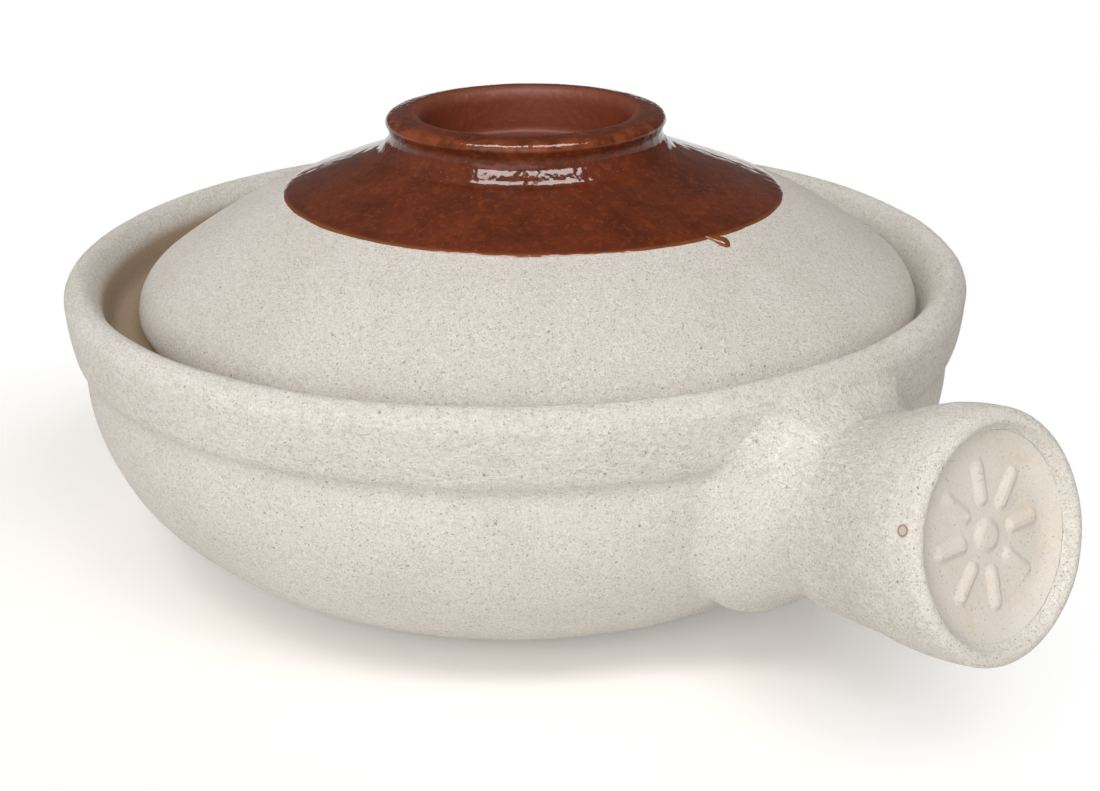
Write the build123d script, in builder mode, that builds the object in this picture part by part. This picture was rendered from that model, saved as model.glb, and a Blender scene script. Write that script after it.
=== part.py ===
from build123d import *
import math
import os

# A shallow clay cooking pot with one stub handle and a domed lid, as the pieces a potter joins.
# Sizes are in millimetres. The origin is the middle of the flat base, +Z is up and the handle
# points along +X.

os.makedirs("parts", exist_ok=True)

# How far a cutting body runs past what it cuts
overrun = 5

# The bowl, from its flat base up to its rim. The outline's shares are of the rim's radius and height.
rim_radius = 120
rim_height = 81
base_radius = 59.8
belly_shares = (0.8267, 0.2346)
shoulder_shares = (0.945, 0.5309)
neck_shares = (0.9583, 0.7506)

# The thick band that stands round the lid
band_foot_shares = (0.9767, 0.7728)
band_foot_round = 0.9
lip_thickness = 10
lip_inside_round = 6

# The bowl's inside, with the ledge that carries the lid
wall_thickness = 7
floor_thickness = 8
floor_inset = 1.8
ledge_drop = 14.5
ledge_setback = 3
ledge_width = 15
ledge_thickness = 4.5
ledge_round = 1.5
ledge_corner_round = 2.5
ledge_root_share = 0.298
ledge_root_inset = 0.7

# Glaze and joining slip
lining_thickness = 0.6
lining_drop = 1
glaze_thickness = 0.5
slip_thickness = 0.5

# The lid, about its own axis. It lies to one side of the play that its seat gives it. The dome's
# shares run from the lid's edge in to the crown.
seat_clearance = 0.3
lid_play = 3.4
lid_shift = 3.1
lid_shift_angle = 53
lid_wall = 6
lid_edge_round = 4.2
lid_edge_height = 4.4
seat_width = 4.2
dome_rise = 35.3
dome_slope_share = 0.637
brow_shares = (0.082, 0.221)
slope_shares = (0.2995, 0.4759)
glaze_shares = (0.6039, 0.7385)
crown_radius = 41.5
dish_depth = 0.8
crown_wall = 4.7

# The ring knob, from its flared foot up to its rounded lip. The shares are of the crown's radius
# and the knob's height.
knob_rise = 11.4
knob_foot_width = 14.5
flare_hollow_shares = (0.943, 0.0695)
flare_shares = (0.9084, 0.193)
low_crease_shares = (0.8675, 0.377)
high_crease_shares = (0.8675, 0.702)
neck_hollow = 0.35
bead_shares = (0.8795, 0.789)
lip_outer_shares = (0.853, 0.921)
lip_crest_share = 0.752
knob_mouth_shares = (0.665, 0.807)

# The run of glaze at the coat's edge
run_width = 3.4
run_overlap = 1.9
run_start_angle = 4
run_reach = 3.1
run_end_angle = 6.4
run_sink = 0.7

# The handle, whose axis climbs away from the bowl's wall. Reaches run along it from the wall. Its
# foot is turned about an axis of its own that leans down to stand square to the wall.
wall_standoff = 0.6
handle_height_share = 0.552
handle_angle = 13
foot_lean = 22
foot_lift = 3
foot_depth = 24
foot_round = 7.8
foot_shoulder_drop = 2
foot_shoulder_back = 3
foot_neck_reach = 3.8
foot_neck_radius = 19.5
hip_back = 5
hip_radius = 21.1
waist_reach = 3
waist_radius = 21.3
swell_reach = 17
swell_radius = 23.3
bell_reach = 33
bell_radius = 25.9
mouth_reach = 51
mouth_radius = 27.4
lip_reach = 2.4
lip_inset = 1.9
recess_radius = 23.2
recess_edge_drop = 1.8
handle_wall = 6
rabbet_depth = 9.4
disc_thickness = 5
shoulder_width = 4
vent_reach = 25
vent_radius = 1

# The pressed relief on the end disc
relief_height = 1
boss_radius = 3.6
petal_count = 8
petal_width = 3.6
petal_inner_radius = 6.4
petal_outer_radius = 16.4


def moved_in(points, depth):
    """Return the middle points of a line that runs down, each moved in square to it by the depth."""
    inner = []
    for before, point, after in zip(points, points[1:], points[2:]):
        along = Vector(after[0] - before[0], after[1] - before[1]).normalized()
        inner.append((point[0] + depth * along.Y, point[1] - depth * along.X))
    return inner


# The bowl

seat_height = rim_height - ledge_drop + seat_clearance
lip_round = lip_thickness / 2
lip_height = rim_height - lip_round
side_points = [
    (radius_share * rim_radius, height_share * rim_height)
    for radius_share, height_share in (neck_shares, shoulder_shares, belly_shares)
]
side_points.append((base_radius, 0))
neck_radius = side_points[0][0]
shoulder_radius, shoulder_height = side_points[1]
band_foot_radius = band_foot_shares[0] * rim_radius
band_foot_height = band_foot_shares[1] * rim_height
neck_tangent = (0.107, -1)
root_tangent = (0.08, -1)


def draw_arcs(points, tangent):
    """Draw arcs through the points in the open sketch, each one tangent to the one before."""
    for start, end in zip(points, points[1:]):
        arc = TangentArc(start, end, tangent=tangent)
        tangent = arc % 1


def draw_outside(growth):
    """Draw the bowl's outer line in the open sketch, from the base to the lip, grown outward."""
    points = [(radius + growth, height) for radius, height in side_points]
    draw_arcs(points, neck_tangent)
    Line(points[0], (band_foot_radius + growth, band_foot_height))
    TangentArc(
        (rim_radius + growth, lip_height),
        (band_foot_radius + growth, band_foot_height),
        tangent=(0, -1),
    )


# The ledge's root lies on the wall's inside, part of the way from the shoulder up to the ledge
ledge_height = rim_height - ledge_drop
ledge_outer_radius = rim_radius - lip_thickness - ledge_setback
ledge_radius = ledge_outer_radius - ledge_width
ledge_root_radius = neck_radius - wall_thickness - ledge_root_inset
ledge_root_height = shoulder_height + ledge_root_share * (ledge_height - shoulder_height)
floor_radius = base_radius - floor_inset
inner_points = [
    (ledge_root_radius, ledge_root_height),
    *moved_in(side_points, wall_thickness),
    (floor_radius, floor_thickness),
]

with BuildPart() as bowl:
    with BuildSketch(Plane.XZ) as bowl_section:
        with BuildLine():
            Line((0, floor_thickness), (0, 0))
            Line((0, 0), (base_radius, 0))
            draw_outside(0)
            ThreePointArc(
                (rim_radius, lip_height),
                (rim_radius - lip_round, rim_height),
                (rim_radius - lip_thickness, lip_height),
            )
            Polyline(
                (rim_radius - lip_thickness, lip_height),
                (ledge_outer_radius, ledge_height),
                (ledge_radius, ledge_height),
                (ledge_radius, ledge_height - ledge_thickness),
                (ledge_root_radius, ledge_root_height),
            )
            draw_arcs(inner_points, root_tangent)
            Line((floor_radius, floor_thickness), (0, floor_thickness))
        make_face()
        corners = bowl_section.vertices()
        fillet(corners.sort_by_distance((rim_radius - lip_thickness, lip_height))[0], lip_inside_round)
        corners = bowl_section.vertices()
        fillet(corners.sort_by_distance((ledge_outer_radius, ledge_height))[0], ledge_corner_round)
        corners = bowl_section.vertices()
        fillet(corners.sort_by_distance((ledge_radius, ledge_height))[0], ledge_round)
        corners = bowl_section.vertices()
        fillet(corners.sort_by_distance((band_foot_radius, band_foot_height))[0], band_foot_round)
    revolve(axis=Axis.Z)

bowl.part.label = "bowl"
export_step(bowl.part, "parts/bowl.step")

# The glaze lining, a thin skin on the cooking space up to the root of the ledge

with BuildPart() as bowl_glaze:
    with BuildSketch(Plane.XZ) as lining_section:
        with BuildLine():
            Line((0, floor_thickness), (floor_radius, floor_thickness))
            draw_arcs(inner_points, root_tangent)
            Line((ledge_root_radius, ledge_root_height), (0, ledge_root_height))
            Line((0, ledge_root_height), (0, floor_thickness))
        make_face()
    revolve(axis=Axis.Z)
    with BuildSketch(Plane.XZ) as room_section:
        with BuildLine():
            room_floor = floor_thickness + lining_thickness
            room_points = [
                (ledge_root_radius - lining_thickness, ledge_root_height),
                *moved_in(inner_points, lining_thickness),
                (floor_radius, room_floor),
            ]
            draw_arcs(room_points, root_tangent)
            Line((0, room_floor), (floor_radius, room_floor))
            Line((ledge_root_radius - lining_thickness, ledge_root_height), (0, ledge_root_height))
            Line((0, ledge_root_height), (0, room_floor))
        make_face()
    revolve(axis=Axis.Z, mode=Mode.SUBTRACT)
    split(bisect_by=Plane.XY.offset(ledge_root_height - lining_drop), keep=Keep.BOTTOM)

bowl_glaze.part.label = "bowl_glaze"
export_step(bowl_glaze.part, "parts/bowl_glaze.step")

# The lid

shift_turn = math.radians(lid_shift_angle)
lid_centre = (lid_shift * math.cos(shift_turn), lid_shift * math.sin(shift_turn), 0)
lid_plane = Plane(origin=lid_centre, x_dir=(1, 0, 0), z_dir=(0, -1, 0))
lid_axis = Axis(lid_centre, (0, 0, 1))
lid_radius = ledge_outer_radius - lid_play
seat_ring_radius = lid_radius - lid_edge_round - seat_width
edge_height = seat_height + lid_edge_height
crown_height = edge_height + dome_rise
crown_inset = lid_radius - crown_radius
dome_points = [
    (crown_radius, crown_height),
    *(
        (lid_radius - inset_share * crown_inset, edge_height + rise_share * dome_rise)
        for inset_share, rise_share in (glaze_shares, slope_shares, brow_shares)
    ),
    (lid_radius, edge_height),
]
glaze_radius, glaze_height = dome_points[1]
slope_radius, slope_height = dome_points[2]
dome_tangent = (crown_inset, -dome_slope_share * dome_rise)
dish_radius = crown_radius - knob_foot_width
dish_height = crown_height - dish_depth
vault_points = [(0, dish_height - crown_wall), *moved_in(dome_points, lid_wall)]


def draw_dome():
    """Draw the lid's upper line in the open sketch, between its seat and the middle of its crown."""
    TangentArc((lid_radius - lid_edge_round, seat_height), dome_points[-1], tangent=(1, 0))
    draw_arcs(dome_points, dome_tangent)
    Polyline(
        (crown_radius, crown_height),
        (dish_radius, crown_height),
        (dish_radius, dish_height),
        (0, dish_height),
    )


with BuildPart() as lid:
    with BuildSketch(lid_plane):
        with BuildLine():
            draw_dome()
            Line((0, dish_height), vault_points[0])
            draw_arcs(vault_points, (1, 0))
            Polyline(
                vault_points[-1],
                (seat_ring_radius, seat_height),
                (lid_radius - lid_edge_round, seat_height),
            )
        make_face()
    revolve(axis=lid_axis)

lid.part.label = "lid"
export_step(lid.part, "parts/lid.step")

# The slip under the ring knob

with BuildPart() as knob_slip_joint:
    with BuildSketch(Plane(lid_centre).offset(crown_height)):
        Circle(crown_radius)
        Circle(dish_radius, mode=Mode.SUBTRACT)
    extrude(amount=slip_thickness)

knob_slip_joint.part.label = "knob_slip_joint"
export_step(knob_slip_joint.part, "parts/knob_slip_joint.step")

# The ring knob, turned with two creases under its rounded lip

knob_base = crown_height + slip_thickness
knob_top = knob_base + knob_rise


def on_knob(shares):
    """Return the point of the knob's section at shares of the crown's radius and the knob's height."""
    return (shares[0] * crown_radius, knob_base + shares[1] * knob_rise)


knob_mouth = on_knob(knob_mouth_shares)


def draw_knob():
    """Draw the knob's line in the open sketch, from its outer foot over the lip to its mouth."""
    flare, low_crease, high_crease = (
        on_knob(shares) for shares in (flare_shares, low_crease_shares, high_crease_shares)
    )
    ThreePointArc((crown_radius, knob_base), on_knob(flare_hollow_shares), flare)
    ThreePointArc(
        flare,
        ((flare[0] + low_crease[0]) / 2 + neck_hollow, (flare[1] + low_crease[1]) / 2),
        low_crease,
    )
    ThreePointArc(
        low_crease,
        (low_crease[0] - neck_hollow, (low_crease[1] + high_crease[1]) / 2),
        high_crease,
    )
    bead = on_knob(bead_shares)
    Line(high_crease, bead)
    draw_arcs([bead, on_knob(lip_outer_shares), (lip_crest_share * crown_radius, knob_top)], (0, 1))
    TangentArc((lip_crest_share * crown_radius, knob_top), knob_mouth, tangent=(-1, 0))


with BuildPart() as lid_knob:
    with BuildSketch(lid_plane):
        with BuildLine():
            draw_knob()
            Polyline(
                knob_mouth,
                (dish_radius, knob_base),
                (crown_radius, knob_base),
            )
        make_face()
    revolve(axis=lid_axis)

lid_knob.part.label = "lid_knob"
export_step(lid_knob.part, "parts/lid_knob.step")

# The brown coat: the lid and the knob grown by its thickness, less the clay that it covers

with BuildSketch(lid_plane) as covered_section:
    with BuildLine():
        draw_dome()
        Polyline(
            (0, dish_height),
            (0, seat_height),
            (lid_radius - lid_edge_round, seat_height),
        )
    make_face()
    with BuildLine():
        draw_knob()
        Polyline(
            knob_mouth,
            (dish_radius, knob_base),
            (dish_radius, crown_height),
            (crown_radius, crown_height),
            (crown_radius, knob_base),
        )
    make_face()

with BuildPart() as covered_clay:
    with BuildSketch(lid_plane):
        add(covered_section.sketch_local)
    revolve(axis=lid_axis)

# The run, whose line lies just under the dome's surface. It starts at the coat's edge.
run_spots = []
run_ends = ((glaze_radius - run_overlap, run_start_angle), (glaze_radius + run_reach, run_end_angle))
for reach, angle in run_ends:
    turn = math.radians(angle)
    drop = (reach - glaze_radius) * (glaze_height - slope_height) / (slope_radius - glaze_radius)
    run_foot = (reach * math.cos(turn), reach * math.sin(turn), glaze_height - drop - run_sink)
    run_spots.append(Vector(lid_centre) + Vector(run_foot))
run_axis = Axis(run_spots[0], run_spots[1] - run_spots[0])
run_length = (run_spots[1] - run_spots[0]).length
run_round = run_width / 2
run_side = Vector(-run_axis.direction.Y, run_axis.direction.X, 0).normalized()

with BuildPart() as glaze_run:
    with BuildSketch(Plane(run_spots[0], x_dir=run_axis.direction, z_dir=run_side)):
        with BuildLine():
            Line((0, 0), (run_length + run_round, 0))
            TangentArc((run_length, run_round), (run_length + run_round, 0), tangent=(1, 0))
            Polyline((run_length, run_round), (0, run_round), (0, 0))
        make_face()
    revolve(axis=run_axis)
    add(covered_clay.part, mode=Mode.SUBTRACT)
    with BuildSketch(Plane(lid_centre).offset(seat_height)):
        Circle(glaze_radius)
    extrude(amount=knob_top, mode=Mode.SUBTRACT)

with BuildPart() as lid_glaze:
    with BuildSketch(lid_plane):
        add(covered_section.sketch_local)
        offset(amount=glaze_thickness)
        with Locations((glaze_radius / 2, glaze_height)):
            Rectangle(glaze_radius, 2 * (knob_top + overrun - glaze_height), mode=Mode.INTERSECT)
        add(covered_section.sketch_local, mode=Mode.SUBTRACT)
    revolve(axis=lid_axis)
    add(glaze_run.part)

lid_glaze.part.label = "lid_glaze"
export_step(lid_glaze.part, "parts/lid_glaze.step")

# The handle

climb = math.radians(handle_angle)
handle_along = Vector(math.cos(climb), 0, math.sin(climb))
handle_root = Vector(shoulder_radius + wall_standoff, 0, handle_height_share * rim_height)
handle_axis = Axis(handle_root, handle_along)
handle_section = Plane(handle_root, x_dir=handle_along, z_dir=(0, -1, 0))


def on_handle(reach):
    """Return the point of the handle's axis at the given reach from the wall."""
    return handle_root + handle_along * reach


# The foot reaches up to the height of the rim
foot_climb = math.radians(handle_angle - foot_lean)
foot_along = Vector(math.cos(foot_climb), 0, math.sin(foot_climb))
foot_root = handle_root + Vector(-handle_along.Z, 0, handle_along.X) * foot_lift
foot_radius = (rim_height - foot_root.Z) / foot_along.X


def draw_bowl_space(growth):
    """Draw the space that the bowl fills in the open sketch, grown outward and open at the top."""
    lip_crest = rim_radius - lip_round
    space_top = rim_height + foot_radius
    draw_outside(growth)
    TangentArc((rim_radius + growth, lip_height), (lip_crest, rim_height), tangent=(0, 1))
    Polyline(
        (lip_crest, rim_height),
        (lip_crest, space_top),
        (0, space_top),
        (0, 0),
        (base_radius + growth, 0),
    )


# The space that the bowl and the slip on its wall fill, which the handle's foot is fitted to

with BuildPart() as bowl_with_slip:
    with BuildSketch(Plane.XZ):
        with BuildLine():
            draw_bowl_space(slip_thickness)
        make_face()
    revolve(axis=Axis.Z)

# The hollow barrel on its rounded foot, with a rabbet at its mouth

foot_section = Plane(foot_root, x_dir=foot_along, z_dir=(0, -1, 0))
foot_axis = Axis(foot_root, foot_along)
crest_reach = mouth_reach + lip_reach
shoulder_reach = crest_reach - rabbet_depth
hollow_radius = waist_radius - handle_wall
barrel_points = [
    (-hip_back, hip_radius),
    (waist_reach, waist_radius),
    (swell_reach, swell_radius),
    (bell_reach, bell_radius),
    (mouth_reach, mouth_radius),
]
foot_points = [
    (-foot_round, foot_radius),
    (-foot_shoulder_back, foot_radius - foot_shoulder_drop),
    (foot_neck_reach, foot_neck_radius),
]

with BuildPart() as handle_blank:
    with BuildSketch(handle_section):
        with BuildLine():
            Line((-foot_depth, hip_radius), (-hip_back, hip_radius))
            draw_arcs(barrel_points, (1, 0))
            TangentArc(barrel_points[-1], (crest_reach, mouth_radius - lip_inset), tangent=(1, 0))
            TangentArc(
                (crest_reach, mouth_radius - lip_inset),
                (crest_reach - recess_edge_drop, recess_radius),
                tangent=(0, -1),
            )
            Polyline(
                (crest_reach - recess_edge_drop, recess_radius),
                (shoulder_reach, recess_radius),
                (shoulder_reach, 0),
                (-foot_depth, 0),
                (-foot_depth, hip_radius),
            )
        make_face()
    revolve(axis=handle_axis)
    with BuildSketch(foot_section):
        with BuildLine():
            Line((-foot_depth, foot_radius), (-foot_round, foot_radius))
            draw_arcs(foot_points, (1, 0))
            Polyline(
                (foot_neck_reach, foot_neck_radius),
                (foot_neck_reach, 0),
                (-foot_depth, 0),
                (-foot_depth, foot_radius),
            )
        make_face()
    revolve(axis=foot_axis)

with BuildPart() as handle_hollow:
    with BuildSketch(handle_section):
        with BuildLine():
            Polyline(
                (-foot_depth - overrun, 0),
                (-foot_depth - overrun, hollow_radius),
                (swell_reach, hollow_radius),
                (shoulder_reach, recess_radius - shoulder_width),
                (shoulder_reach + overrun, recess_radius - shoulder_width),
                (shoulder_reach + overrun, 0),
                (-foot_depth - overrun, 0),
            )
        make_face()
    revolve(axis=handle_axis)

with BuildPart() as handle_barrel:
    add(handle_blank.part)
    add(handle_hollow.part, mode=Mode.SUBTRACT)
    add(bowl_with_slip.part, mode=Mode.SUBTRACT)
    with BuildSketch(Plane(on_handle(vent_reach), x_dir=(0, 1, 0), z_dir=(0, 0, -1))):
        Circle(vent_radius)
    extrude(amount=mouth_radius + overrun, mode=Mode.SUBTRACT)

handle_barrel.part.label = "handle_barrel"
export_step(handle_barrel.part, "parts/handle_barrel.step")

# The slip between the foot and the bowl's wall

with BuildPart() as handle_slip_joint:
    add(handle_blank.part)
    add(handle_hollow.part, mode=Mode.SUBTRACT)
    add(bowl_with_slip.part, mode=Mode.INTERSECT)
    with BuildSketch(Plane.XZ):
        with BuildLine():
            draw_bowl_space(0)
        make_face()
    revolve(axis=Axis.Z, mode=Mode.SUBTRACT)

handle_slip_joint.part.label = "handle_slip_joint"
export_step(handle_slip_joint.part, "parts/handle_slip_joint.step")

# The slip on the rabbet's shoulder and the pressed end disc on it

with BuildPart() as end_disc_slip_joint:
    with BuildSketch(Plane(on_handle(shoulder_reach), x_dir=(0, 1, 0), z_dir=handle_along)):
        Circle(recess_radius)
        Circle(recess_radius - shoulder_width, mode=Mode.SUBTRACT)
    extrude(amount=slip_thickness)

end_disc_slip_joint.part.label = "end_disc_slip_joint"
export_step(end_disc_slip_joint.part, "parts/end_disc_slip_joint.step")

disc_back = shoulder_reach + slip_thickness
disc_front = disc_back + disc_thickness

with BuildPart() as handle_end_disc:
    with BuildSketch(Plane(on_handle(disc_back), x_dir=(0, 1, 0), z_dir=handle_along)):
        Circle(recess_radius)
    extrude(amount=disc_thickness)
    with BuildSketch(Plane(on_handle(disc_front), x_dir=(0, 1, 0), z_dir=handle_along)):
        Circle(boss_radius)
        petal_middle = (petal_inner_radius + petal_outer_radius) / 2
        with PolarLocations(petal_middle, petal_count):
            SlotOverall(petal_outer_radius - petal_inner_radius, petal_width)
    extrude(amount=relief_height)

handle_end_disc.part.label = "handle_end_disc"
export_step(handle_end_disc.part, "parts/handle_end_disc.step")
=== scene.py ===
"""Dresses the packed sand pot: thrown clay, a stub handle, a domed lid and its brown glaze."""

import logging
import math
from dataclasses import dataclass
from enum import Enum
from typing import Any, Callable, Mapping, Optional, Sequence, Union

import bpy
import numpy as np
from mathutils import Euler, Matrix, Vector, noise


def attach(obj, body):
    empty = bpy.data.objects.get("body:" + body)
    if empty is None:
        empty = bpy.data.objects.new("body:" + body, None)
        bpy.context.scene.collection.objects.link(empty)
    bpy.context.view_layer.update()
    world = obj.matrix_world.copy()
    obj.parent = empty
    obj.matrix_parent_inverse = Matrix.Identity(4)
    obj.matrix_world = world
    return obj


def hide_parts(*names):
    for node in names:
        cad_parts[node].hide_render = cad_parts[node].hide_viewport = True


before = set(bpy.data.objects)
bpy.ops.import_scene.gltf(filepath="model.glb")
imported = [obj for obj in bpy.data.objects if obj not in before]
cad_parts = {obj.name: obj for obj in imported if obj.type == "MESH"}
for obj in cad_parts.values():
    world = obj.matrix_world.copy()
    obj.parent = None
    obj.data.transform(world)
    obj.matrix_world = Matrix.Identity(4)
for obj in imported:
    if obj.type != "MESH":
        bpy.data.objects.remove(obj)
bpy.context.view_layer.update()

LOG = logging.getLogger("sand_pot")
MM = 0.001
NO_WIDTH = 1e-4
Pair = Sequence[float]
Triple = Sequence[float]
Array = np.ndarray
Socket = bpy.types.NodeSocket
Material = bpy.types.Material
Thing = bpy.types.Object
Colour = tuple[float, float, float, float]
WHITE = (1.0, 1.0, 1.0, 1.0)


def tone(red: int, green: int, blue: int) -> Colour:
    """Return the linear colour of an 8-bit screen colour."""
    shares = (value / 255 for value in (red, green, blue))
    return (*(s / 12.92 if s <= 0.04045 else ((s + 0.055) / 1.055) ** 2.4 for s in shares), 1.0)


# Shader graphs


def math_node(operation: str, reflected: bool = False) -> Callable[["Field", "Number"], "Field"]:
    """Return an operator on fields that adds a Math node.

    Args:
        operation: the node's operation.
        reflected: whether the other value comes first.

    Returns:
        The operator, as a method of Field.
    """
    def operator(field: "Field", other: "Number") -> "Field":
        """Return the field of the new node."""
        values = enumerate((other, field) if reflected else (field, other))
        return field.graph.field("ShaderNodeMath", {"operation": operation}, dict(values))

    return operator


class Field:
    """A number that varies over a surface. Python's operators on it add Math nodes."""

    __add__ = __radd__ = math_node("ADD")
    __sub__ = math_node("SUBTRACT")
    __rsub__ = math_node("SUBTRACT", reflected=True)
    __mul__ = __rmul__ = math_node("MULTIPLY")
    __pow__ = math_node("POWER")
    angle_to = math_node("ARCTAN2")
    largest = math_node("MAXIMUM")

    def __init__(self, graph: "Graph", socket: Socket) -> None:
        """Wrap a float socket of a graph."""
        self.graph, self.socket = graph, socket

    def step(self, low: float, high: float) -> "Field":
        """Return a smooth step.

        Args:
            low: the value at which it is 0.
            high: the value at which it is 1. The step falls where low is the larger.

        Returns:
            The step's field.
        """
        if low > high:
            return 1 - self.step(high, low)
        return self.graph.field("ShaderNodeMapRange", {"interpolation_type": "SMOOTHSTEP"},
                                {"Value": self, "From Min": low, "From Max": high}, "Result")

    def hump(self, low: float, high: float, edge: float) -> "Field":
        """Return 1 between low and high and 0 outside, with soft edges."""
        return self.step(low - edge, low + edge) * self.step(high + edge, high - edge)


Number = Union[Field, float]


class Graph:
    """The node tree of a new material or world, cleared and ready to be filled."""

    def __init__(self, owner: Union[Material, bpy.types.World]) -> None:
        """Clear the tree.

        Args:
            owner: the material or world that it belongs to.
        """
        owner.use_nodes = True
        self.owner = owner
        self.tree = owner.node_tree
        self.tree.nodes.clear()

    @classmethod
    def of_material(cls, name: str) -> "Graph":
        """Return the graph of a new material."""
        return cls(bpy.data.materials.new(name))

    def node(self, kind: str, settings: Optional[Mapping[str, Any]] = None,
             sockets: Optional[Mapping[Any, Any]] = None) -> bpy.types.Node:
        """Add a node.

        Args:
            kind: the node's type name.
            settings: its properties, which are set before its sockets.
            sockets: a value, a Field or a socket to link for each named input.

        Returns:
            The new node.
        """
        node = self.tree.nodes.new(kind)
        for key, value in (settings or {}).items():
            setattr(node, key, value)
        for key, value in (sockets or {}).items():
            target = node.inputs[key]
            if isinstance(value, Field):
                self.tree.links.new(value.socket, target)
            elif isinstance(value, Socket):
                self.tree.links.new(value, target)
            else:
                target.default_value = value
        return node

    def field(self, kind: str, settings: Mapping[str, Any], sockets: Mapping[Any, Any],
              output: Union[int, str] = 0) -> Field:
        """Return the field of one output of a new node."""
        return Field(self, self.node(kind, settings, sockets).outputs[output])

    def place(self) -> Socket:
        """Return the point of the surface in the part's frame, in metres."""
        return self.node("ShaderNodeTexCoord").outputs["Object"]

    def along(self, place: Socket, direction: Triple) -> Field:
        """Return how far the place lies along a direction."""
        return self.field("ShaderNodeVectorMath", {"operation": "DOT_PRODUCT"},
                          {0: place, 1: tuple(direction)}, "Value")

    def distance(self, place: Socket, point: Triple) -> Field:
        """Return the distance of the place from a point."""
        return self.field("ShaderNodeVectorMath", {"operation": "DISTANCE"},
                          {0: place, 1: point}, "Value")

    def point(self, x: Number, y: Number, z: Number) -> Socket:
        """Return a vector made of three fields."""
        return self.node("ShaderNodeCombineXYZ", {}, {"X": x, "Y": y, "Z": z}).outputs["Vector"]

    def parts(self, place: Socket) -> tuple[Field, Field, Field]:
        """Return the three coordinates of a place."""
        node = self.node("ShaderNodeSeparateXYZ", {}, {"Vector": place})
        return tuple(Field(self, node.outputs[axis]) for axis in "XYZ")

    def span(self, first: Field, second: Field) -> Field:
        """Return the length of a plane vector of two fields."""
        return (first * first + second * second) ** 0.5

    def noise(self, place: Socket, size: float, detail: float = 2.0, twist: float = 0.0) -> Field:
        """Return smooth noise.

        Args:
            place: where the surface is.
            size: the features' size in metres.
            detail: how many finer noises lie on it.
            twist: how much it is distorted.

        Returns:
            The noise, from 0 to 1.
        """
        sockets = {"Vector": place, "Scale": 1 / size, "Detail": detail, "Distortion": twist}
        return self.field("ShaderNodeTexNoise", {"noise_dimensions": "3D"}, sockets)

    def specks(self, place: Socket, pitch: float, radius: float, share: float) -> Field:
        """Return round specks.

        Args:
            place: where the surface is.
            pitch: the cells' size in metres, one speck at most in each.
            radius: a speck's radius in metres.
            share: the part of the cells that hold one.

        Returns:
            1 in a speck and 0 between them.
        """
        cells = self.node("ShaderNodeTexVoronoi", {"feature": "F1"},
                          {"Vector": place, "Scale": 1 / pitch})
        chance = self.field("ShaderNodeSeparateColor", {}, {"Color": cells.outputs["Color"]})
        reach = radius / pitch
        shape = Field(self, cells.outputs["Distance"]).step(reach * 1.25, reach * 0.55)
        return shape * chance.step(share + 0.03, share - 0.03)

    def mix(self, factor: Number, first: Any, second: Any) -> Socket:
        """Return a colour between two colours."""
        node = self.node("ShaderNodeMix", {"data_type": "RGBA"}, {0: factor, 6: first, 7: second})
        return node.outputs[2]

    def bump(self, height: Field, depth: float) -> Socket:
        """Return a normal bent by a height field of the given depth in metres."""
        sockets = {"Height": height, "Distance": depth, "Strength": 1.0}
        return self.node("ShaderNodeBump", {}, sockets).outputs["Normal"]

    def shader(self, kind: str, **sockets: Any) -> Optional[Socket]:
        """Add a shader or an output.

        Args:
            kind: the node's type name.
            **sockets: its inputs, with an underscore for each space.

        Returns:
            The shader's socket, and nothing for an output.
        """
        named = {key.replace("_", " "): value for key, value in sockets.items()}
        return next(iter(self.node(kind, {}, named).outputs), None)

    def surface(self, **sockets: Any) -> Material:
        """Finish the graph with one Principled shader.

        Args:
            **sockets: the shader's inputs, with an underscore for each space.

        Returns:
            The material.
        """
        whole = self.shader("ShaderNodeBsdfPrincipled", **sockets)
        self.shader("ShaderNodeOutputMaterial", Surface=whole)
        return self.owner


# The pot's own places, in millimetres

LID_CENTRE = np.array([1.866, 2.476])
COAT_SHIFT = np.array([-0.26, 2.58])
HANDLE_ANGLE = math.radians(13)
HANDLE_ALONG = np.array([math.cos(HANDLE_ANGLE), 0.0, math.sin(HANDLE_ANGLE)])
HANDLE_UP = np.array([-math.sin(HANDLE_ANGLE), 0.0, math.cos(HANDLE_ANGLE)])
HANDLE_SIDE = np.array([0.0, 1.0, 0.0])
HANDLE_ROOT = np.array([114.0, 0.0, 44.71])


# Finishes, whose sizes and places are in metres

HANDLE_RISE = float(HANDLE_ROOT @ HANDLE_UP) * MM
MARK_PLACE = (0.16078, -0.02591, 0.06441)
MARK_RING = (0.00085, 0.00125)
MARK_EDGE = 0.00025
MARK_MIDDLE = (0.00095, 0.00070)
CLAY_IOR = 1.4
GLAZE_IOR = 1.5


class Strokes(Enum):
    """Which way the potter's scraping left its marks."""

    NONE = "none"
    AROUND = "around"
    ALONG = "along"


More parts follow.
